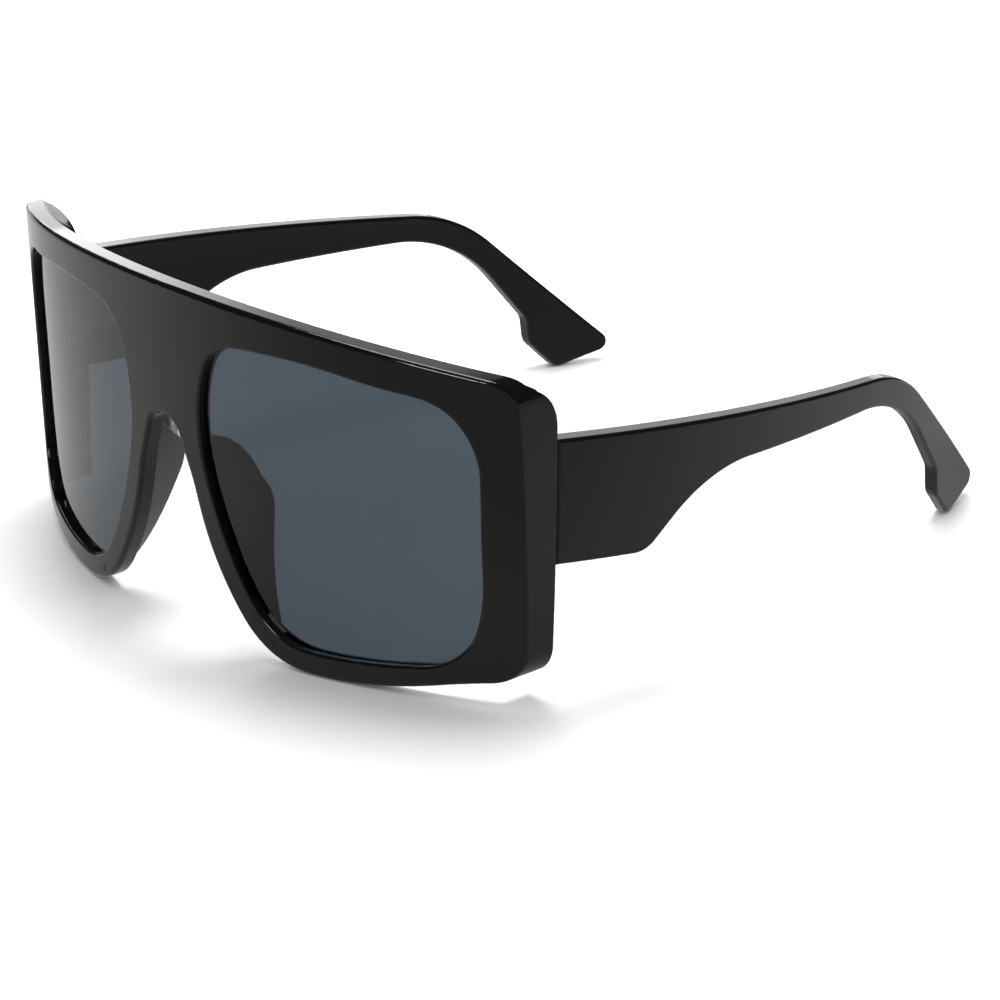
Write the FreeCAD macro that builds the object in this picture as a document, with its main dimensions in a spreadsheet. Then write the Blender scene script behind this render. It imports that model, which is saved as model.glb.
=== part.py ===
import FreeCAD, Part
import math
import os
from types import SimpleNamespace

import Sketcher
from FreeCAD import Placement, Rotation, Vector

# Oversized flat-top sunglasses standing open on a table.  A wrapped, moulded front with its own
# nose pads carries two tinted lenses; two temples fold on three-knuckle metal hinges.
# Millimetres and degrees.  +X is the wearer's left, the front faces -Y, the temples run to +Y,
# +Z is up, and the origin is the middle of the footprint, on the table.

SIZES = (
    ("lens_width", 56.4, "opening, nose side to temple side"),
    ("lens_height", 60.7, "opening, bottom to top"),
    ("bridge_width", 21.4, "between the two openings"),
    ("end_width", 7.2, "front beyond the opening, at the ends"),
    ("brow_height", 8.507, "brow above the opening"),
    ("brow_drop", 7.9, "fall of the brow line from its middle to the ends"),
    ("front_radius", 119.0, "wrap of the front face, seen from above"),
    ("front_thickness", 3.7, "front, face to back"),
    ("front_lean", 3.6, "lean of the front towards the viewer as it stands"),
    ("front_round", 0.9, "rounding of the front face's edges"),
    ("end_corner", 5.5, "upper corner radius of the end pieces"),
    ("end_heel", 7.1, "lower corner radius of the end pieces"),
    ("end_rise", 5.3, "lower corner of the end pieces above the table"),
    ("end_draft", 0.5, "ends draw in at the corners"),
    ("rim_width", 4.9, "rim beside and under the opening"),
    ("rim_round", 0.5, "rounding of the opening's front edge"),
    ("lens_setback", 1.6, "front face to lens"),
    ("lens_thickness", 1.4, "lens"),
    ("groove_depth", 0.8, "lens groove in the rim"),
    ("lens_clearance", 0.05, "lens in its groove, all round"),
    ("pad_reach", 16.5, "nose pad crest behind the front face's middle"),
    ("pad_root", 2.8, "nose pad root behind the front face's middle"),
    ("pad_crest_round", 8.0, "rounding of the crest, seen from the side"),
    ("pad_low_round", 4.0, "rounding of the lower corner"),
    ("pad_thickness", 2.4, "nose pad wall"),
    ("pad_step", 0.2, "pad inside the rim's nose side"),
    ("pad_flare", 17.0, "pads open towards the face"),
    ("pad_round", 0.9, "rounding of the pad's rim"),
    ("end_drop", 8.9, "top of the end piece under the brow's middle"),
    ("end_round", 9.0, "rounding of that top towards the joint"),
    ("end_slant", 16.0, "height over which the end piece thins to its top"),
    ("end_wall", 0.8, "end piece at its top"),
    ("end_inset", 0.4, "end piece beside the opening's edge"),
    ("end_depth", 5.95, "butt joint behind the face at the ends"),
    ("butt_gap", 0.2, "gap of the butt joint"),
    ("temple_slope", 7.3, "temples fall towards the tips"),
    ("temple_splay", 7.2, "temples leave the joint outwards"),
    ("temple_bow", 288.0, "bow of the temples, seen from above"),
    ("temple_inset", 0.0, "temple inside the end face"),
    ("temple_thickness", 4.2, "temple at the joint"),
    ("tip_thickness", 3.0, "temple at the tip"),
    ("temple_round", 0.7, "rounding of the temple's edges"),
    ("panel_rise", 13.1, "top edge of the temple above the hinge"),
    ("panel_height", 25.3, "wide front panel of the temple"),
    ("panel_length", 24.2, "hinge to the end of the wide panel"),
    ("panel_corner", 6.8, "lower corner of the wide panel"),
    ("sweep_length", 14.8, "run of the sweep from panel to arm"),
    ("sweep_radius", 33.6, "sweep from panel to arm"),
    ("arm_front", 10.5, "arm behind the panel"),
    ("arm_rear", 4.8, "arm at the ear bend"),
    ("ear_reach", 103.0, "hinge to the ear bend"),
    ("ear_angle", 36.1, "ear bend"),
    ("ear_radius", 34.3, "outer radius of the ear bend"),
    ("ear_inner", 33.0, "inner radius of the ear bend"),
    ("tip_length", 53.7, "ear bend to the end of the tip"),
    ("tip_rake", 7.7, "slant of the tip's end"),
    ("tip_width", 12.5, "flared tip"),
    ("neck_length", 31.4, "ear bend to the flare"),
    ("neck_width", 8.2, "slim neck before the flare"),
    ("heel_length", 4.8, "length of the step into the flare"),
    ("heel_step", 3.9, "step into the flare"),
    ("heel_radius", 4.0, "rounding of that step"),
    ("tip_corner", 2.2, "corner radius of the tip"),
    ("hinge_height", 10.0, "three knuckles together"),
    ("knuckle_radius", 1.5, "hinge knuckle"),
    ("axis_inset", 1.3, "hinge axis inside the temple's inner face"),
    ("leaf_thickness", 0.9, "hinge leaf"),
    ("leaf_sink", 0.5, "temple leaf let into the temple"),
    ("front_leaf_length", 5.4, "front leaf from the axis"),
    ("temple_leaf_length", 11.0, "temple leaf from the axis"),
    ("swing_clearance", 0.25, "round the knuckles"),
    ("knuckle_gap", 0.1, "between knuckles"),
    ("pin_radius", 0.6, "pivot screw shank"),
    ("pin_clearance", 0.04, "pivot screw in its knuckles"),
    ("head_radius", 1.1, "screw heads"),
    ("head_height", 0.6, "screw heads"),
    ("slot_width", 0.3, "driver slot"),
    ("slot_depth", 0.25, "driver slot"),
    ("screw_radius", 0.5, "leaf screw shank"),
    ("screw_length", 2.6, "leaf screw under its head"),
    ("screw_clearance", 0.03, "leaf screw in its hole"),
    ("screw_pitch", 5.0, "between the two screws of a leaf"),
)

doc = FreeCAD.newDocument("sunglasses")
sheet = doc.addObject("Spreadsheet::Sheet", "sizes")
for row, (alias, value, note) in enumerate(SIZES, 1):
    sheet.set(f"A{row}", note)
    sheet.set(f"B{row}", str(value))
    sheet.setAlias(f"B{row}", alias)
doc.recompute()
size = SimpleNamespace(**{alias: float(sheet.get(alias)) for alias, value, note in SIZES})

NEAR = 0.01
NEAR_STRAIGHT = 0.0001
ALONG_X = Vector(1, 0, 0)
ALONG_Y = Vector(0, 1, 0)
ALONG_Z = Vector(0, 0, 1)


# Small modelling steps shared by the sub-parts.
def add(kind, name, **properties):
    """Adds a document object; a text value is a formula over the sheet."""
    thing = doc.addObject(kind, name)
    for prop, value in properties.items():
        if isinstance(value, str) and value.startswith("="):
            thing.setExpression(prop, value[1:])
        else:
            setattr(thing, prop, value)
    return thing


def prism(name, wire, direction, length):
    """A flat outline drawn out along a direction."""
    outline = doc.addObject("Part::Feature", f"{name}_outline")
    outline.Shape = Part.Face(wire)
    return add("Part::Extrusion", name, Base=outline, DirMode="Custom", Dir=direction,
               LengthFwd=length, Solid=True)


def block(name, low, high):
    """A box between two corners."""
    return add("Part::Box", name, Length=high.x - low.x, Width=high.y - low.y, Height=high.z - low.z,
               Placement=Placement(low, Rotation()))


def cut(name, base, tool):
    return add("Part::Cut", name, Base=base, Tool=tool)


def common(name, base, tool):
    return add("Part::Common", name, Base=base, Tool=tool)


def fuse(name, pieces):
    return add("Part::MultiFuse", name, Shapes=pieces)


def mirror(name, source):
    return add("Part::Mirroring", name, Source=source, Normal=ALONG_X)


def rounded_edges(name, base, radius, chosen):
    """Rounds the edges of a solid that a test picks out."""
    doc.recompute()
    picked = [number for number, edge in enumerate(base.Shape.Edges, 1) if chosen(edge)]
    return add("Part::Fillet", name, Base=base, Edges=[(number, radius, radius) for number in picked])


def samples(edge):
    first, last = edge.ParameterRange
    return [edge.valueAt(first + (last - first) * step / 4) for step in range(5)]


def rounded_polygon(corners):
    """A closed wire through (point, radius) corners, each rounded by a tangent arc."""
    ends = []
    for number, (point, radius) in enumerate(corners):
        before = (corners[number - 1][0] - point).normalize()
        after = (corners[(number + 1) % len(corners)][0] - point).normalize()
        half = before.getAngle(after) / 2
        if radius == 0:
            ends.append((point, None, point))
            continue
        middle = (before + after).normalize()
        reach = radius / math.tan(half)
        crown = point + middle * (radius / math.sin(half) - radius)
        ends.append((point + before * reach, crown, point + after * reach))
    edges = []
    for number, (start, crown, stop) in enumerate(ends):
        if crown:
            edges.append(Part.Arc(start, crown, stop).toShape())
        edges.append(Part.LineSegment(stop, ends[(number + 1) % len(ends)][0]).toShape())
    return Part.Wire(edges)


# Lens opening.  Shares of the opening's width from the nose side and of its height, clockwise
# from the top; the rim, the groove, the lens and the pads all follow this one outline, and the
# underside of the front runs below its foot, up to the bridge.
LENS_TOP = (
    (0.278, 0.998), (0.518, 0.989), (0.725, 0.958), (0.906, 0.912), (0.962, 0.847), (1.0, 0.533),
    (0.985, 0.204), (0.958, 0.123),
)
LENS_FOOT = ((0.589, 0.001), (0.274, 0.042), (0.173, 0.155), (0.061, 0.385), (0.011, 0.546))
LENS_NOSE = ((0.014, 0.830), (0.082, 0.955))
BRIDGE_SHARE = 0.6805


def smooth_stations(points, closed):
    """Points with the headings of the smooth curve through them."""
    curve = Part.BSplineCurve()
    curve.interpolate(Points=points, PeriodicFlag=closed)
    return [(point, curve.tangent(curve.parameter(point))[0]) for point in points]


def arc_from(start, heading, stop):
    """An arc that leaves a point along a heading and ends at another point."""
    chord = stop - start
    unit = Vector(chord).normalize()
    turn = heading.getAngle(unit)
    if turn < NEAR_STRAIGHT:
        return Part.LineSegment(start, stop).toShape()
    side = (heading - unit * heading.dot(unit)).normalize()
    crown = (start + stop) / 2 + side * (chord.Length / 2 * math.tan(turn / 2))
    return Part.Arc(start, crown, stop).toShape()


def arcs_through(stations, closed):
    """Pairs of tangent arcs from station to station, without a kink anywhere."""
    edges = []
    following = stations[1:] + stations[:1] if closed else stations[1:]
    for (start, leaving), (stop, arriving) in zip(stations, following):
        span = stop - start
        forward = span.dot(leaving + arriving)
        bend = 2 - 2 * leaving.dot(arriving)
        reach = span.dot(span) / (2 * forward)
        if bend > NEAR_STRAIGHT ** 2:
            reach = (math.sqrt(forward ** 2 + bend * span.dot(span)) - forward) / bend
        joint = (start + stop + (leaving - arriving) * reach) / 2
        edges += [arc_from(start, leaving, joint), arc_from(stop, arriving * -1, joint)]
    return edges


def lens_stations(gap, sill):
    """The outline's stations moved outwards by a gap, on an opening whose bottom is at the sill."""
    points = [Vector(size.bridge_width / 2 + across * size.lens_width, 0, sill + up * size.lens_height)
              for across, up in LENS_TOP + LENS_FOOT + LENS_NOSE]
    return [(point + Vector(-heading.z, 0, heading.x) * gap, heading)
            for point, heading in smooth_stations(points, True)]


def lens_wire(gap, sill, depth):
    wire = Part.Wire(Part.sortEdges(arcs_through(lens_stations(gap, sill), True))[0])
    wire.translate(ALONG_Y * depth)
    return wire


def lower_edge(sill):
    """Underside of the front, end to end: end piece, rim, bridge, rim, end piece."""
    beside = lens_stations(size.rim_width, sill)
    foot = beside[len(LENS_TOP):len(LENS_TOP) + len(LENS_FOOT)]
    half = [point for point, heading in reversed(foot)]
    half.append(Vector(front_width / 2 - size.end_draft, 0, size.end_rise))
    bridge = Vector(0, 0, sill + BRIDGE_SHARE * size.lens_height)
    points = [Vector(-p.x, 0, p.z) for p in reversed(half)] + [bridge] + half
    return arcs_through(smooth_stations(points, False), False)


# The rim's lowest point stands on the table, which sets the height of the openings.  The joint
# lies behind the wrapped ends.
front_width = size.bridge_width + 2 * (size.lens_width + size.end_width)
lowest = min(edge.BoundBox.ZMin for edge in lower_edge(size.rim_width))
sill = size.rim_width - lowest
front_height = sill + size.lens_height + size.brow_height
end_face = size.front_radius - math.sqrt(size.front_radius ** 2 - (front_width / 2) ** 2)
joint_depth = end_face + size.end_depth
end_inside = size.bridge_width / 2 + size.lens_width + size.end_inset
ahead = -front_height
lean = Placement(Vector(), Rotation(ALONG_X, size.front_lean))


# Front.
def drum(name, radius):
    """A round bar on the axis of the wrap, leaning with the front, longer than the front both ways."""
    axis = Vector(0, size.front_radius, -front_height)
    return add("Part::Cylinder", name, Radius=radius, Height=front_height * 3,
               Placement=lean * Placement(axis, Rotation()))


def wrapped_shell(name, outer, inner):
    return cut(name, drum(f"{name}_outer", outer), drum(f"{name}_inner", inner))


def front_outline():
    """Outline of the front: a flat brow arc, slightly bowed ends, rims and bridge below."""
    half = front_width / 2
    upper_corner = Vector(half - size.end_draft, 0, front_height - size.brow_drop)
    lower_corner = Vector(half - size.end_draft, 0, size.end_rise)
    waist = Vector(half, 0, (upper_corner.z + lower_corner.z) / 2)
    end = Part.Arc(lower_corner, waist, upper_corner).toShape()
    opposite = Vector(-upper_corner.x, 0, upper_corner.z)
    brow = Part.Arc(upper_corner, Vector(0, 0, front_height), opposite).toShape()
    far_end = end.mirror(Vector(), ALONG_X)
    wire = Part.Wire(Part.sortEdges(lower_edge(sill) + [end, brow, far_end])[0])
    wire.translate(ALONG_Y * ahead)
    return wire


def is_end_corner(edge):
    """Edges across the thickness at the four outer corners."""
    points = samples(edge)
    level = abs(points[0].z - points[-1].z) < NEAR
    return level and all(abs(point.x) > front_width / 2 - size.end_draft - NEAR for point in points)


def is_upper_corner(edge):
    return is_end_corner(edge) and samples(edge)[0].z > front_height / 2


def is_lower_corner(edge):
    return is_end_corner(edge) and samples(edge)[0].z < front_height / 2


def from_axis(point):
    """Distance of a point from the axis of the wrap."""
    local = lean.inverse().multVec(point)
    return math.hypot(local.x, local.y - size.front_radius)


def on_front_face(edge):
    return all(abs(from_axis(point) - size.front_radius) < NEAR for point in samples(edge))


def end_piece():
    """A block behind the end of the front.  Seen from the side its top rounds down to the joint;
    seen from behind it thins from the hinge's level to a narrow top."""
    top = front_height - size.end_drop
    thin = front_width / 2 - size.end_wall
    across = Part.makePolygon([
        Vector(end_inside, 0, 0), Vector(front_width, 0, 0), Vector(front_width, 0, top),
        Vector(thin, 0, top), Vector(end_inside, 0, top - size.end_slant), Vector(end_inside, 0, 0)])
    along = rounded_polygon((
        (Vector(0, 0, 0), 0), (Vector(0, joint_depth, 0), 0),
        (Vector(0, joint_depth, top), size.end_round), (Vector(0, 0, top), 0)))
    body = common("end_body", prism("end_across", across, ALONG_Y, front_width),
                  prism("end_along", along, ALONG_X, front_width))
    return common("end_piece", body, drum("end_limit", "=sizes.front_radius - sizes.front_thickness / 2"))


through = joint_depth - ahead
plate = prism("front_plate", front_outline(), ALONG_Y, through)
plate = rounded_edges("upper_corners", plate, size.end_corner, is_upper_corner)
plate = rounded_edges("lower_corners", plate, size.end_heel, is_lower_corner)
wrap = wrapped_shell("front_wrap", "=sizes.front_radius", "=sizes.front_radius - sizes.front_thickness")
ends = end_piece()
blank = fuse("wrap_and_ends", [wrap, ends, mirror("end_piece_right", ends)])
blank = common("front_blank", blank, plate)
blank = rounded_edges("front_edges", blank, size.front_round, on_front_face)
opening = prism("opening", lens_wire(0, sill, ahead), ALONG_Y, through)
openings = fuse("openings", [opening, mirror("opening_right", opening)])
rims = cut("rims", blank, openings)


def on_opening_front(edge):
    """Edges of the openings on the front face, which the outer edges' rounding leaves alone."""
    low, high = sill - NEAR, sill + size.lens_height + NEAR
    return on_front_face(edge) and all(low < point.z < high for point in samples(edge))


rims = rounded_edges("rim_edges", rims, size.rim_round, on_opening_front)


# Nose pads: a thin wall along the nose side of each rim, flared, with a bowed rear edge.  Shares of
# the pad's reach behind its root and of the opening's height: foot, low corner, crest, upper end.
PAD_SIDE = ((0.0, -0.030), (0.381, 0.022), (1.0, 0.426), (0.0, 0.636))


def pad_wall():
    flare = math.radians(size.pad_flare)
    backwards = Vector(math.sin(flare), math.cos(flare), 0)
    gap = size.rim_width - size.pad_step
    outer = lens_wire(gap, sill, size.pad_root)
    inner = lens_wire(gap - size.pad_thickness, sill, size.pad_root)
    length = "=2 * sizes.pad_reach"
    return cut("pad_wall", prism("pad_outer", outer, backwards, length),
               prism("pad_inner", inner, backwards, length))


def pad_side():
    """Side view of the pad, drawn out across the nose half of the opening."""
    wire = rounded_polygon([
        (Vector(0, size.pad_root + behind * (size.pad_reach - size.pad_root),
                sill + up * size.lens_height), radius)
        for (behind, up), radius in zip(PAD_SIDE, (0, size.pad_low_round, size.pad_crest_round, 0))])
    return prism("pad_side", wire, ALONG_X, "=(sizes.bridge_width + sizes.lens_width) / 2")


def on_pad_rim(edge):
    points = [lean.inverse().multVec(point) for point in samples(edge)]
    return all(point.y > size.pad_root + NEAR for point in points[1:-1])


pad = common("pad", pad_wall(), pad_side())
pad.Placement = lean
pad = rounded_edges("pad_edges", pad, size.pad_round, on_pad_rim)


# Lenses: curved plates of the opening's outline, held in a groove all round.
lens_face = "=sizes.front_radius - sizes.lens_setback"
lens_back = f"{lens_face} - sizes.lens_thickness"
groove_wrap = wrapped_shell("groove_wrap", f"{lens_face} + sizes.lens_clearance",
                            f"{lens_back} - sizes.lens_clearance")
groove_plate = prism("groove_plate", lens_wire(size.groove_depth, sill, ahead), ALONG_Y, through)
groove = common("groove", groove_wrap, groove_plate)
lens_wrap = wrapped_shell("lens_wrap", lens_face, lens_back)
lens_edge = lens_wire(size.groove_depth - size.lens_clearance, sill, ahead)
lens = common("lens", lens_wrap, prism("lens_plate", lens_edge, ALONG_Y, through))


# Temple side view: distances along the temple's top line and above the hinge, then turned by the
# temple's slope.  The lowest corner of the tip stands on the table, which sets the hinge's height.
def temple_outline():
    slope = math.radians(size.temple_slope)
    bend = math.radians(size.ear_angle)
    butt = size.butt_gap / 2

    def turned(along, above):
        return Vector(0, along * math.cos(slope) + above * math.sin(slope),
                      above * math.cos(slope) - along * math.sin(slope))

    def at_butt(above):
        return turned((butt - above * math.sin(slope)) / math.cos(slope), above)

    def past_bend(along, below):
        return turned(size.ear_reach + along * math.cos(bend) - below * math.sin(bend),
                      size.panel_rise - along * math.sin(bend) - below * math.cos(bend))

    foot = size.panel_rise - size.panel_height
    return rounded_polygon((
        (at_butt(size.panel_rise), 0),
        (turned(size.ear_reach, size.panel_rise), size.ear_radius),
        (past_bend(size.tip_length, 0), size.tip_corner),
        (past_bend(size.tip_length - size.tip_rake, size.tip_width), size.tip_corner),
        (past_bend(size.neck_length + size.heel_length, size.neck_width + size.heel_step),
         size.heel_radius),
        (past_bend(size.neck_length, size.neck_width), size.heel_radius),
        (turned(size.ear_reach, size.panel_rise - size.arm_rear), size.ear_inner),
        (turned(size.panel_length + size.sweep_length, size.panel_rise - size.arm_front),
         size.sweep_radius),
        (turned(size.panel_length, foot), size.panel_corner),
        (at_butt(foot), 0),
    ))


profile = temple_outline()
outside = front_width / 2 - size.temple_inset
hinge = Vector(outside - size.temple_thickness - size.axis_inset, joint_depth + size.butt_gap / 2,
               -profile.BoundBox.ZMin)
profile.translate(Vector(0, hinge.y, hinge.z))

# Temple in plan: two upright drums, the inner one set back so that the wall thins to the tip.
splay = math.radians(size.temple_splay)
bow_axis = Vector(outside - size.temple_bow * math.cos(splay),
                  hinge.y + size.temple_bow * math.sin(splay), 0)
tip_sine = (profile.BoundBox.YMax - bow_axis.y) / size.temple_bow
set_back = (size.temple_thickness - size.tip_thickness) / (tip_sine + math.sin(splay))
inner_axis = bow_axis + ALONG_Y * set_back
inner_bow = size.temple_bow - size.temple_thickness + set_back * math.sin(splay)


def on_temple_face(edge):
    def all_at(axis, radius):
        return all(abs(math.hypot(p.x - axis.x, p.y - axis.y) - radius) < NEAR for p in samples(edge))
    return all_at(bow_axis, size.temple_bow) or all_at(inner_axis, inner_bow)


outer_drum = add("Part::Cylinder", "temple_outer", Radius="=sizes.temple_bow",
                 Height=front_height * 2, Placement=Placement(bow_axis, Rotation()))
inner_drum = add("Part::Cylinder", "temple_inner", Radius=inner_bow,
                 Height=front_height * 2, Placement=Placement(inner_axis, Rotation()))
temple = common("temple_blank", cut("temple_wall", outer_drum, inner_drum),
                prism("temple_side", profile, ALONG_X, front_width))
temple = rounded_edges("temple_edges", temple, size.temple_round, on_temple_face)

# Hinges.  Each piece is drawn round the hinge axis at the middle of its height.
front_frame = Placement(hinge, Rotation())
temple_frame = Placement(hinge, Rotation(ALONG_Z, -size.temple_splay))
leaf_inside = end_inside - hinge.x
leaf_outside = size.axis_inset + size.leaf_sink
swing = size.knuckle_radius + size.swing_clearance
knuckle = size.hinge_height / 3
ACROSS = Rotation(ALONG_Y, 90)


def upright(name, radius, height, bottom):
    """A round bar on the hinge axis."""
    return add("Part::Cylinder", name, Radius=radius, Height=height,
               Placement=Placement(ALONG_Z * bottom, Rotation()))


def screw_places(leaf):
    """Head tops of a leaf's two screws: one above the other in front, in a row on the temple."""
    half = size.screw_pitch / 2
    if leaf == "front":
        along = (size.front_leaf_length + swing) / -2
        return [Vector(leaf_inside, along, half), Vector(leaf_inside, along, -half)]
    along = (size.temple_leaf_length + swing) / 2
    inside = leaf_outside - size.leaf_thickness
    return [Vector(inside, along - half, 0), Vector(inside, along + half, 0)]


def screw_holes(name, leaf):
    """Counterbored holes for the screws of a leaf, open towards the middle of the glasses."""
    holes = []
    for number, place in enumerate(screw_places(leaf), 1):
        holes.append(add("Part::Cylinder", f"{name}_shank_{number}",
                         Radius="=sizes.screw_radius + sizes.screw_clearance",
                         Height="=sizes.head_height + sizes.screw_length + sizes.screw_clearance",
                         Placement=Placement(place, ACROSS)))
        holes.append(add("Part::Cylinder", f"{name}_head_{number}",
                         Radius="=sizes.head_radius + sizes.screw_clearance", Height="=sizes.head_height",
                         Placement=Placement(place, ACROSS)))
    return holes


def pin_holes(name):
    """Bore for the pivot screw, with a counterbore for its head at the top."""
    half = size.hinge_height / 2
    bore = upright(f"{name}_bore", "=sizes.pin_radius + sizes.pin_clearance", "=sizes.hinge_height", -half)
    sink = upright(f"{name}_sink", "=sizes.head_radius + sizes.pin_clearance", "=sizes.head_height",
                   half - size.head_height)
    return [bore, sink]


def front_leaf():
    """A plate on the end piece's inner side with an upper and a lower knuckle."""
    half = size.hinge_height / 2
    plate = block("front_plate_leaf", Vector(leaf_inside, -size.front_leaf_length, -half),
                  Vector(leaf_inside + size.leaf_thickness, 0, half))
    barrel = upright("front_barrel", "=sizes.knuckle_radius", "=sizes.hinge_height", -half)
    room = upright("front_knuckle_room", "=sizes.knuckle_radius + sizes.swing_clearance",
                   "=sizes.hinge_height / 3", -knuckle / 2)
    holes = [room] + pin_holes("front_leaf") + screw_holes("front_leaf", "front")
    holes = fuse("front_leaf_holes", holes)
    return cut("front_leaf", fuse("front_leaf_body", [plate, barrel]), holes)


def temple_leaf():
    """A longer plate let into the temple, with the middle knuckle."""
    half = size.hinge_height / 2
    reach = knuckle / 2 - size.knuckle_gap
    inside = leaf_outside - size.leaf_thickness
    plate = block("temple_plate_leaf", Vector(inside, swing, -half),
                  Vector(leaf_outside, size.temple_leaf_length, half))
    web = block("temple_web", Vector(inside, size.swing_clearance, -reach),
                Vector(leaf_outside, swing, reach))
    barrel = upright("temple_barrel", "=sizes.knuckle_radius",
                     "=sizes.hinge_height / 3 - 2 * sizes.knuckle_gap", -reach)
    bore = upright("temple_bore", "=sizes.pin_radius + sizes.pin_clearance", "=sizes.hinge_height", -half)
    holes = fuse("temple_leaf_holes", [bore] + screw_holes("temple_leaf", "temple"))
    return cut("temple_leaf", fuse("temple_leaf_body", [plate, web, barrel]), holes)


def front_seat():
    """Room in the end piece for the front leaf, its knuckles and its screws."""
    half = size.hinge_height / 2
    recess = block("front_recess", Vector(leaf_inside - size.leaf_thickness, -size.front_leaf_length, -half),
                   Vector(leaf_inside + size.leaf_thickness, size.butt_gap, half))
    room = upright("front_swing", "=sizes.knuckle_radius + sizes.swing_clearance",
                   "=sizes.hinge_height + 2 * sizes.swing_clearance", -half - size.swing_clearance)
    seat = fuse("front_seat", [recess, room] + screw_holes("front_seat", "front"))
    seat.Placement = front_frame
    return seat


def temple_seat():
    """Room in the temple for the temple leaf, the knuckles and the screws."""
    half = size.hinge_height / 2
    recess = block("temple_recess", Vector(-swing, -swing, -half),
                   Vector(leaf_outside, size.temple_leaf_length, half))
    room = upright("temple_swing", "=sizes.knuckle_radius + sizes.swing_clearance",
                   "=sizes.hinge_height + 2 * sizes.swing_clearance", -half - size.swing_clearance)
    seat = fuse("temple_seat", [recess, room] + screw_holes("temple_seat", "temple"))
    seat.Placement = temple_frame
    return seat


def drawn_on(body, name, plane):
    """A sketch on one of a body's own origin planes."""
    drawing = body.newObject("Sketcher::SketchObject", name)
    support = next(feature for feature in body.Origin.OriginFeatures if feature.Role == plane)
    drawing.AttachmentSupport = [(support, "")]
    drawing.MapMode = "FlatFace"
    return drawing


def squared_loop(drawing, corners):
    """A closed loop of level and upright lines, starting with a level one."""
    for number, corner in enumerate(corners):
        drawing.addGeometry(Part.LineSegment(corner, corners[(number + 1) % len(corners)]), False)
    for number in range(len(corners)):
        following = (number + 1) % len(corners)
        drawing.addConstraint(Sketcher.Constraint("Coincident", number, 2, following, 1))
        drawing.addConstraint(Sketcher.Constraint("Vertical" if number % 2 else "Horizontal", number))


def line_length(drawing, kind, line, value, formula):
    """Ties the length of one line of a sketch to the sheet."""
    place = drawing.addConstraint(Sketcher.Constraint(kind, line, 1, line, 2, value))
    drawing.setExpression(f"Constraints[{place}]", formula)


def slotted_screw(name, shank, shank_formula, length, length_formula):
    """A turned screw with a driver slot; the head's top is at the origin and it points to +Z."""
    body = doc.addObject("PartDesign::Body", name)
    head, tall = size.head_radius, size.head_height
    section = drawn_on(body, f"{name}_section", "XZ_Plane")
    squared_loop(section, [Vector(0, 0), Vector(head, 0), Vector(head, tall), Vector(shank, tall),
                           Vector(shank, tall + length), Vector(0, tall + length)])
    section.addConstraint(Sketcher.Constraint("Coincident", 0, 1, -1, 1))
    line_length(section, "DistanceX", 0, head, "sizes.head_radius")
    line_length(section, "DistanceY", 1, tall, "sizes.head_height")
    line_length(section, "DistanceX", 2, shank - head, f"{shank_formula} - sizes.head_radius")
    line_length(section, "DistanceY", 3, length, length_formula)
    turned = body.newObject("PartDesign::Revolution", f"{name}_turned")
    turned.Profile = section
    turned.ReferenceAxis = (section, ["V_Axis"])
    slot = drawn_on(body, f"{name}_slot", "XY_Plane")
    wide, narrow = head + size.screw_clearance, size.slot_width / 2
    squared_loop(slot, [Vector(-wide, -narrow), Vector(wide, -narrow), Vector(wide, narrow),
                        Vector(-wide, narrow)])
    slot.addConstraint(Sketcher.Constraint("Symmetric", 0, 1, 1, 2, -1, 1))
    line_length(slot, "DistanceX", 0, 2 * wide, "2 * (sizes.head_radius + sizes.screw_clearance)")
    line_length(slot, "DistanceY", 1, 2 * narrow, "sizes.slot_width")
    pocket = body.newObject("PartDesign::Pocket", f"{name}_cut")
    pocket.Profile = slot
    pocket.Reversed = True
    pocket.setExpression("Length", "sizes.slot_depth")
    return body


def leaf_screws(name, leaf):
    """The two screws of a leaf, as one group."""
    pair = []
    for number, place in enumerate(screw_places(leaf), 1):
        screw = slotted_screw(f"{name}_{number}", size.screw_radius, "sizes.screw_radius",
                              size.screw_length, "sizes.screw_length")
        screw.Placement = Placement(place, ACROSS)
        pair.append(screw)
    return add("Part::Compound", name, Links=pair)


grooved = cut("grooved_rims", rims, fuse("grooves", [groove, mirror("groove_right", groove)]))
seat = front_seat()
seated = cut("seated_front", grooved, fuse("front_seats", [seat, mirror("front_seat_right", seat)]))
front = fuse("front", [seated, pad, mirror("pad_right", pad)])
temple = cut("temple", temple, temple_seat())
pivot = slotted_screw("pivot", size.pin_radius, "sizes.pin_radius", size.hinge_height - size.head_height,
                      "sizes.hinge_height - sizes.head_height")
doc.recompute()

# The footprint's middle comes to the origin; the right-hand pieces mirror the left-hand ones.
nearest = front.Shape.optimalBoundingBox(False).YMin
furthest = temple.Shape.optimalBoundingBox(False).YMax
ground = Placement(ALONG_Y * -(nearest + furthest) / 2, Rotation())
head_up = Placement(ALONG_Z * size.hinge_height / 2, Rotation(ALONG_X, 180))
left_hand = (
    ("lens", lens, Placement()),
    ("temple", temple, Placement()),
    ("hinge_front_leaf", front_leaf(), front_frame),
    ("hinge_temple_leaf", temple_leaf(), temple_frame),
    ("hinge_screw", pivot, front_frame * head_up),
    ("front_leaf_screws", leaf_screws("front_screws", "front"), front_frame),
    ("temple_leaf_screws", leaf_screws("temple_screws", "temple"), temple_frame),
)
front.Label = "frame_front"
front.Placement = ground
sub_parts = [front]
for label, piece, place in left_hand:
    piece.Label = f"{label}_left"
    piece.Placement = ground * place
    other = mirror(f"{piece.Name}_mirrored", piece)
    other.Label = f"{label}_right"
    sub_parts += [piece, other]
doc.recompute()

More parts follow.
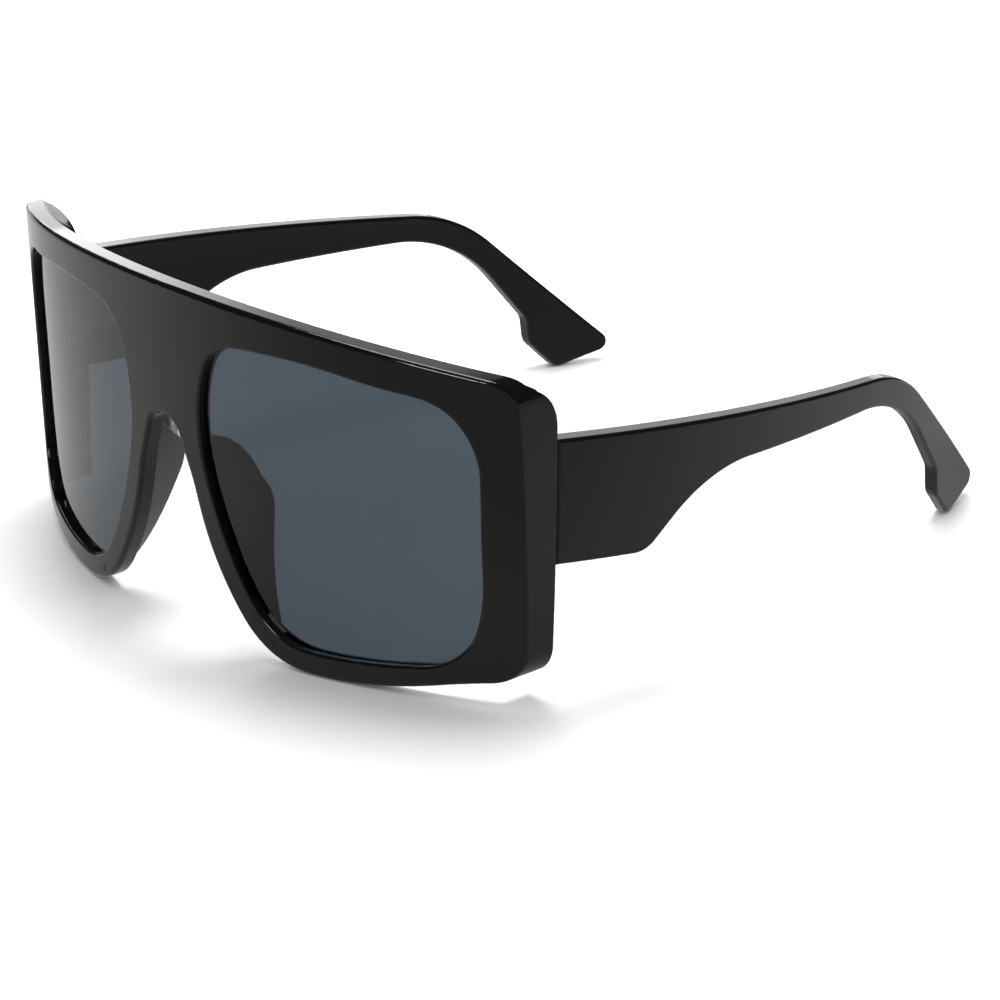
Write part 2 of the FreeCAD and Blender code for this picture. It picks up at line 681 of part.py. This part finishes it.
failed = [thing.Label for thing in doc.Objects if "Invalid" in thing.State or "Error" in thing.State]
failed += [part.Label for part in sub_parts if part.Shape.isNull() or not part.Shape.isValid()]
if failed:
    raise RuntimeError(f"failed to build: {failed}")
os.makedirs("parts", exist_ok=True)
for part in sub_parts:
    part.Shape.exportStep(f"parts/{part.Label}.step")
    print(f"{part.Label}: {len(part.Shape.Solids)} solids, {part.Shape.Volume:.1f} mm3")
print(f"hinge axis at {ground.multVec(hinge)}")
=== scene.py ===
import math
import bpy
from mathutils import Matrix, Vector


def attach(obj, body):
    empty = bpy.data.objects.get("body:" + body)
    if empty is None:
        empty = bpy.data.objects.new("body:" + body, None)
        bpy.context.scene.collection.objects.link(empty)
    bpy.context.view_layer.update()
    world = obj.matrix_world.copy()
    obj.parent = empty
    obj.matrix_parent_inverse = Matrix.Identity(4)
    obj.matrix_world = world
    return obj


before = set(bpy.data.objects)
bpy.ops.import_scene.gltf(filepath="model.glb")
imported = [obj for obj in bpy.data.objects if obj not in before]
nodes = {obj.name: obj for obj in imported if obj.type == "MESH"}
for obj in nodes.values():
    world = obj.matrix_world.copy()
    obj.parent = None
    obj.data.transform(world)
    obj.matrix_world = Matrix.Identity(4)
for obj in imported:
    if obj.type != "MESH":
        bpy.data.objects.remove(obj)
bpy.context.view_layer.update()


# Front: rims, brow, bridge, end pieces and nose pads, one injection moulding in black polycarbonate,
# tumbled and polished.  The lenses sit in its grooves and the hinge leaves are screwed behind its ends.
def srgb(code):
    """A colour as the eye reads it, such as 1c1d1f, turned into light."""
    parts = [int(code[digit:digit + 2], 16) / 255 for digit in (0, 2, 4)]
    return [p / 12.92 if p <= 0.04045 else ((p + 0.055) / 1.055) ** 2.4 for p in parts] + [1.0]


def node(tree, kind, settings=(), **inputs):
    """Adds a node; an input given as a socket is wired, anything else is set."""
    made = tree.nodes.new(kind)
    for name, value in dict(settings).items():
        setattr(made, name, value)
    for name, value in inputs.items():
        numbered = name[1:].isdigit()
        socket = made.inputs[int(name[1:]) if numbered else name.replace("_", " ")]
        if isinstance(value, bpy.types.NodeSocket):
            tree.links.new(value, socket)
        else:
            socket.default_value = value
    return made


def material(name):
    """A new material with its node tree, its shader and its Object coordinates."""
    made = bpy.data.materials.new(name)
    made.use_nodes = True
    tree = made.node_tree
    place = node(tree, "ShaderNodeTexCoord").outputs["Object"]
    return made, tree, tree.nodes["Principled BSDF"], place


# Polished black polycarbonate: deep black with a clear mirror gloss.  Tumbling leaves faint hazy patches
# about 11 mm wide, and the mould a ripple of about 3 mm that only just stirs the reflections.
BLACK_COLOUR, BLACK_IOR = "050505", 1.52
HAZE_WIDTH, HAZE_LEAST, HAZE_MOST = 0.011, 0.06, 0.11
RIPPLE_WIDTH, RIPPLE_HEIGHT, RIPPLE_STRENGTH = 0.003, 0.000004, 0.1
# The span in which most of a noise texture's values lie.
NOISE_LOW, NOISE_HIGH = 0.35, 0.75
black, tree, shader, place = material("polished_black_polycarbonate")
shader.inputs["Base Color"].default_value = srgb(BLACK_COLOUR)
shader.inputs["IOR"].default_value = BLACK_IOR
haze = node(tree, "ShaderNodeTexNoise", Vector=place, Scale=1 / HAZE_WIDTH, Detail=3.0)
rough = node(tree, "ShaderNodeMapRange", Value=haze.outputs["Fac"], From_Min=NOISE_LOW,
             From_Max=NOISE_HIGH, To_Min=HAZE_LEAST, To_Max=HAZE_MOST)
ripple = node(tree, "ShaderNodeTexNoise", Vector=place, Scale=1 / RIPPLE_WIDTH, Detail=1.0)
bump = node(tree, "ShaderNodeBump", Height=ripple.outputs["Fac"], Strength=RIPPLE_STRENGTH,
            Distance=RIPPLE_HEIGHT)
tree.links.new(rough.outputs["Result"], shader.inputs["Roughness"])
tree.links.new(bump.outputs["Normal"], shader.inputs["Normal"])
nodes["frame_front"].data.materials[0] = black


# End webs: the solid corners behind the brow's two ends, where the top of the moulding sweeps round and
# down to the joint.  They are one with the front and take its finish.
MILLIMETRES = 1000
SMOOTH_BELOW = math.radians(40)
# A new circle's corners may lie half a step off its X axis, so they are counted with some slack.
CORNER_SLACK = 0.3


def lofted(name, outlines):
    """A closed piece of the front through outlines of equally many points, all in millimetres."""
    corners = len(outlines[0])
    bpy.ops.object.select_all(action="DESELECT")
    bpy.ops.mesh.primitive_circle_add(vertices=corners, radius=1.0, fill_type="NGON")
    made = bpy.context.object
    made.name = name
    bpy.ops.object.mode_set(mode="EDIT")
    for step in range(len(outlines) - 1):
        bpy.ops.mesh.extrude_region_move(TRANSFORM_OT_translate={"value": (0, 0, 1.0)})
    bpy.ops.object.mode_set(mode="OBJECT")
    for point in made.data.vertices:
        turn = math.atan2(point.co.y, point.co.x) / math.tau
        corner = math.floor(turn * corners + CORNER_SLACK) % corners
        point.co = Vector(outlines[round(point.co.z)][corner]) / MILLIMETRES
    bpy.ops.object.mode_set(mode="EDIT")
    bpy.ops.mesh.select_all(action="SELECT")
    bpy.ops.mesh.normals_make_consistent(inside=False)
    bpy.ops.object.mode_set(mode="OBJECT")
    bpy.ops.object.shade_smooth_by_angle(angle=SMOOTH_BELOW)
    made.data.materials.append(black)
    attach(made, "front")


# Rails in millimetres: out from the middle, behind, above.  The first follows the brow's rear edge from
# the corner inwards, the others the end piece from its top down to the joint.
WEB_BROW = ((71.5, -60.4, 66.4), (70.0, -61.3, 67.2), (68.0, -62.8, 67.6), (65.0, -64.9, 68.2),
            (62.0, -66.9, 68.75), (59.0, -68.8, 69.3), (56.0, -70.7, 69.8))
WEB_END = ((72.6, -58.9, 65.4), (72.7, -57.7, 65.2), (72.6, -56.6, 64.55), (72.4, -55.4, 63.5),
           (72.1, -54.3, 62.35), (71.7, -53.4, 61.1), (70.9, -52.5, 58.6))
WEB_ROUND = ((73.2, -58.95, 64.5), (73.2, -57.7, 64.4), (73.2, -56.6, 64.0), (73.25, -55.4, 63.2),
             (73.2, -54.3, 62.15), (73.1, -53.4, 60.95), (72.6, -52.5, 58.5))
WEB_OUTER = ((73.55, -59.0, 63.5), (73.6, -57.7, 63.4), (73.6, -56.6, 63.2), (73.7, -55.4, 62.7),
             (73.8, -54.3, 61.8), (73.8, -53.4, 60.7), (73.8, -52.5, 58.3))
# The underside, hidden in the end piece and in the brow.
UNDER_OUT, UNDER_DEPTH = 73.4, 5.0
ROOT_INSET, ROOT_DEPTH = 0.5, 2.0
WEB_UNDER = [(UNDER_OUT, behind, above - UNDER_DEPTH) for out, behind, above in WEB_OUTER]
WEB_ROOT = [(out, behind - ROOT_INSET, above - ROOT_DEPTH) for out, behind, above in WEB_BROW]
for side, hand in ((1, "left"), (-1, "right")):
    outlines = [[(side * out, behind, above) for out, behind, above in section]
                for section in zip(WEB_BROW, WEB_END, WEB_ROUND, WEB_OUTER, WEB_UNDER, WEB_ROOT)]
    lofted(f"end_web_{hand}", outlines)


# Pad crests: the full upper ends of the nose pads, which run up under the bridge.  They are part of the
# same moulding and take its finish.
# Crest from the bridge back and down, in millimetres: out from the middle, behind, above.
CREST = ((8.0, -83.2, 43.5), (8.4, -81.5, 43.4), (8.9, -80.0, 43.1), (9.6, -78.1, 42.4),
         (10.85, -76.4, 41.0), (12.0, -74.6, 38.4), (12.7, -73.2, 35.4))
# Its rounded section, out and above.
CREST_SECTION = ((-1.1, -4.0), (-1.1, -0.6), (-0.5, 0.0), (0.5, 0.0), (1.1, -0.6), (1.1, -4.0))
for side, hand in ((1, "left"), (-1, "right")):
    outlines = [[(side * (out + across), behind, above + up) for across, up in CREST_SECTION]
                for out, behind, above in CREST]
    lofted(f"pad_crest_{hand}", outlines)


# Lenses: two curved plates of smoke-grey polycarbonate, dyed in the mass and hard-coated, sprung into
# the grooves of the rims.
# Smoke-tinted polycarbonate: the dye is in the mass, so a lens seen at a slant looks darker.  Wiping
# leaves the coat a touch hazier in streaks about 18 mm wide.
CLEAR, LENS_IOR = "ffffff", 1.5
STREAK_WIDTH, STREAK_LEAST, STREAK_MOST = 0.018, 0.01, 0.03
# The colour that the dye lets through, and its strength per metre.
DYE_COLOUR, DYE_DENSITY = "7d94a2", 2200.0
smoke, tree, shader, place = material("smoke_tinted_polycarbonate")
shader.inputs["Base Color"].default_value = srgb(CLEAR)
shader.inputs["Transmission Weight"].default_value = 1.0
shader.inputs["IOR"].default_value = LENS_IOR
streak = node(tree, "ShaderNodeTexNoise", Vector=place, Scale=1 / STREAK_WIDTH, Detail=2.0)
rough = node(tree, "ShaderNodeMapRange", Value=streak.outputs["Fac"], From_Min=NOISE_LOW,
             From_Max=NOISE_HIGH, To_Min=STREAK_LEAST, To_Max=STREAK_MOST)
dye = node(tree, "ShaderNodeVolumeAbsorption", Color=srgb(DYE_COLOUR), Density=DYE_DENSITY)
tree.links.new(rough.outputs["Result"], shader.inputs["Roughness"])
tree.links.new(dye.outputs["Volume"], tree.nodes["Material Output"].inputs["Volume"])
for name in ("lens_left", "lens_right"):
    nodes[name].data.materials[0] = smoke


# Temples: a wide panel, slim arm, ear bend and flared tip, moulded in one piece from the same black
# polycarbonate as the front and hung on the hinges.
for name in ("temple_left", "temple_right"):
    nodes[name].data.materials[0] = black


# Hinge leaves: stamped brass with rolled knuckles, nickel-plated, let into seats behind the joint and
# held by two screws each.
# Nickel-plated brass: a warm silver shine over the fine grain of the stamping, about 0.25 mm.
NICKEL_DARK, NICKEL_LIGHT = "a9a59a", "c9c6be"
GRAIN_WIDTH, GRAIN_LEAST, GRAIN_MOST = 0.00025, 0.18, 0.34
nickel, tree, shader, place = material("nickel_plated_brass")
shader.inputs["Metallic"].default_value = 1.0
grain = node(tree, "ShaderNodeTexNoise", Vector=place, Scale=1 / GRAIN_WIDTH, Detail=2.0)
tone = node(tree, "ShaderNodeMix", {"data_type": "RGBA"}, Factor=grain.outputs["Fac"])
tone.inputs["A"].default_value = srgb(NICKEL_DARK)
tone.inputs["B"].default_value = srgb(NICKEL_LIGHT)
rough = node(tree, "ShaderNodeMapRange", Value=grain.outputs["Fac"], To_Min=GRAIN_LEAST, To_Max=GRAIN_MOST)
tree.links.new(tone.outputs["Result"], shader.inputs["Base Color"])
tree.links.new(rough.outputs["Result"], shader.inputs["Roughness"])
for name, piece in nodes.items():
    if "leaf" in name and "screws" not in name:
        piece.data.materials[0] = nickel


# Screws: small slotted screws that hold the leaves, and the pivot screw down through the knuckles,
# turned from stainless steel.
# Turned stainless steel: a cool, bright grey with fine tool marks, about 0.12 mm apart.
STEEL_COLOUR = "bfc1c3"
MARK_PITCH, MARK_LEAST, MARK_MOST = 0.00012, 0.15, 0.30
steel, tree, shader, place = material("turned_stainless_steel")
shader.inputs["Metallic"].default_value = 1.0
shader.inputs["Base Color"].default_value = srgb(STEEL_COLOUR)
marks = node(tree, "ShaderNodeTexNoise", Vector=place, Scale=1 / MARK_PITCH, Detail=1.0)
rough = node(tree, "ShaderNodeMapRange", Value=marks.outputs["Fac"], To_Min=MARK_LEAST, To_Max=MARK_MOST)
tree.links.new(rough.outputs["Result"], shader.inputs["Roughness"])
for name, piece in nodes.items():
    if "screw" in name:
        piece.data.materials[0] = steel


# Floor: a wide sheet of white paper.  Seen straight on or through the lenses it is lit and shaded as it
# lies.  Mirrored in the gloss it is a glow with painted light, brightest on the far side and dimming
# towards the camera, and with painted shadow by the object.
FLOOR_WIDTH = 12.0
PAPER, PAPER_LIT, PAPER_EXTRA = "f2f2f2", "ffffff", "d0d0d0"
PAPER_GLOW = 0.06
# Painted light on the mirrored floor: the way in which it grows, from where to where, and from how much to
# how much.
MIRROR_WAY = (-0.8, 0.6, 0.0)
MIRROR_START, MIRROR_END = -0.185, 0.02
MIRROR_LEAST, MIRROR_MOST = 0.31, 0.78
# Painted shadow of the object on the mirrored floor, in rounds by the temple tips and in the middle:
# centre, inner and outer radius, share left inside.
PAINTED_SHADOW_ROUNDS = (((-0.005, 0.105, 0.0), 0.05, 0.085, 0.45), ((0.01, -0.02, 0.0), 0.05, 0.13, 0.6))
bpy.ops.object.select_all(action="DESELECT")
bpy.ops.mesh.primitive_plane_add(size=FLOOR_WIDTH, location=(0, 0, 0))
floor = bpy.context.object
floor.name = "paper_floor"
paper = bpy.data.materials.new("white_paper")
paper.use_nodes = True
tree = paper.node_tree
tree.nodes.clear()
place = node(tree, "ShaderNodeTexCoord").outputs["Object"]
along = node(tree, "ShaderNodeVectorMath", {"operation": "DOT_PRODUCT"}, _0=place, _1=MIRROR_WAY)
shade = node(tree, "ShaderNodeMapRange", {"interpolation_type": "SMOOTHSTEP"},
             Value=along.outputs["Value"], From_Min=MIRROR_START, From_Max=MIRROR_END,
             To_Min=MIRROR_LEAST, To_Max=MIRROR_MOST)
strength = shade.outputs["Result"]
# Painted shadow: each round darkens the mirrored glow towards its centre.
for centre, near, far, least in PAINTED_SHADOW_ROUNDS:
    reach = node(tree, "ShaderNodeVectorMath", {"operation": "DISTANCE"}, _0=place, _1=centre)
    painted_shadow = node(tree, "ShaderNodeMapRange", {"interpolation_type": "SMOOTHSTEP"},
               Value=reach.outputs["Value"], From_Min=near, From_Max=far, To_Min=least, To_Max=1.0)
    strength = node(tree, "ShaderNodeMath", {"operation": "MULTIPLY"}, _0=strength,
                    _1=painted_shadow.outputs["Result"]).outputs[0]
path = node(tree, "ShaderNodeLightPath")
matt = node(tree, "ShaderNodeBsdfDiffuse", Color=srgb(PAPER))
sheet = node(tree, "ShaderNodeBsdfDiffuse", Color=srgb(PAPER_LIT))
extra = node(tree, "ShaderNodeBsdfDiffuse", Color=srgb(PAPER_EXTRA))
glow = node(tree, "ShaderNodeEmission", Color=srgb(PAPER_LIT), Strength=PAPER_GLOW)
lit = node(tree, "ShaderNodeAddShader", _0=sheet.outputs[0], _1=glow.outputs[0])
bright = node(tree, "ShaderNodeAddShader", _0=sheet.outputs[0], _1=extra.outputs[0])
# The floor as the gloss sees it: a glow, not a lamp, that carries the painted light and painted shadow.
painted_mirror_glow = node(tree, "ShaderNodeEmission", Color=srgb(PAPER_LIT), Strength=strength)
seen = matt
for ray, look in (("Is Glossy Ray", painted_mirror_glow), ("Is Transmission Ray", lit), ("Is Camera Ray", bright)):
    seen = node(tree, "ShaderNodeMixShader", _0=path.outputs[ray], _1=seen.outputs[0], _2=look.outputs[0])
node(tree, "ShaderNodeOutputMaterial", Surface=seen.outputs[0])
floor.data.materials.append(paper)


# Studio: a white room that lights evenly and stands white behind the object, but is dark in the gloss.
ROOM_COLOUR = "ffffff"
ROOM_LIGHT, ROOM_MIRRORED, ROOM_SEEN = 0.42, 0.10, 1.0
world = bpy.data.worlds.new("studio")
bpy.context.scene.world = world
world.use_nodes = True
tree = world.node_tree
tree.nodes.clear()
path = node(tree, "ShaderNodeLightPath")
room = node(tree, "ShaderNodeBackground", Color=srgb(ROOM_COLOUR), Strength=ROOM_LIGHT)
dark = node(tree, "ShaderNodeBackground", Color=srgb(ROOM_COLOUR), Strength=ROOM_MIRRORED)
white = node(tree, "ShaderNodeBackground", Color=srgb(ROOM_COLOUR), Strength=ROOM_SEEN)
direct = node(tree, "ShaderNodeMath", {"operation": "MAXIMUM"}, _0=path.outputs["Is Camera Ray"],
              _1=path.outputs["Is Transmission Ray"])
seen = node(tree, "ShaderNodeMixShader", _0=path.outputs["Is Glossy Ray"], _1=room.outputs[0],
            _2=dark.outputs[0])
seen = node(tree, "ShaderNodeMixShader", _0=direct.outputs[0], _1=seen.outputs[0], _2=white.outputs[0])
node(tree, "ShaderNodeOutputWorld", Surface=seen.outputs[0])


# Lamps: a wide window on the far side that fades towards one end, a lower strip of it near the floor, a
# soft panel overhead and a small key panel in front.
# Name, width and height, place, and radiance; all of them face the same point.
LAMPS = (("window", (0.75, 0.50), Vector((-0.60, 0.55, 0.42)), 3.5),
         ("window_foot", (0.75, 0.16), Vector((-0.64, 0.59, 0.10)), 1.7),
         ("overhead", (0.5, 0.5), Vector((-0.15, 0.14, 1.1)), 6.3),
         ("key", (0.28, 0.28), Vector((0.42, -0.88, 0.50)), 10.0))
LAMP_AIM = Vector((0, 0, 0.05))
# Shares of the window's width between which it fades, and what is left of its light.
FADE_START, FADE_END, FADE_LEAST = 0.50, 0.72, 0.26
for name, (width, height), where, radiance in LAMPS:
    lamp = bpy.data.lights.new(name, "AREA")
    lamp.shape = "RECTANGLE"
    lamp.size, lamp.size_y = width, height
    lamp.energy = radiance * math.pi * width * height
    if name == "window":
        lamp.use_nodes = True
        tree = lamp.node_tree
        spot = node(tree, "ShaderNodeNewGeometry").outputs["Parametric"]
        along = node(tree, "ShaderNodeSeparateXYZ", Vector=spot).outputs["X"]
        fade = node(tree, "ShaderNodeMapRange", {"interpolation_type": "SMOOTHSTEP"}, Value=along,
                    From_Min=FADE_START, From_Max=FADE_END, To_Min=FADE_LEAST, To_Max=1.0)
        tree.links.new(fade.outputs["Result"], tree.nodes["Emission"].inputs["Strength"])
    holder = bpy.data.objects.new(name, lamp)
    holder.location = where
    holder.visible_diffuse = name != "key"
    holder.rotation_euler = (where - LAMP_AIM).to_track_quat("Z", "Y").to_euler()
    bpy.context.scene.collection.objects.link(holder)
bpy.context.scene.view_settings.view_transform = "Standard"


# Camera: a long lens in front on the wearer's left, a little above.
TURN, RISE, ROLL = math.radians(46.415), math.radians(22.063), math.radians(0.782)
CAMERA_TARGET, CAMERA_DISTANCE = Vector((0.0293, -0.0240753, 0.02049)), 0.8876
FOCAL_LENGTH, SENSOR_WIDTH = 159.22, 36.0
away = Vector((math.sin(TURN) * math.cos(RISE), -math.cos(TURN) * math.cos(RISE), math.sin(RISE)))
right = Vector((math.cos(TURN), math.sin(TURN), 0))
up = away.cross(right)
tilted = right * math.cos(ROLL) + up * math.sin(ROLL)
upright = up * math.cos(ROLL) - right * math.sin(ROLL)
view = Matrix((tilted, upright, away)).transposed().to_4x4()
view.translation = CAMERA_TARGET + away * CAMERA_DISTANCE
optics = bpy.data.cameras.new("camera")
optics.sensor_width = SENSOR_WIDTH
optics.lens = FOCAL_LENGTH
camera = bpy.data.objects.new("camera", optics)
camera.matrix_world = view
bpy.context.scene.collection.objects.link(camera)
bpy.context.scene.camera = camera
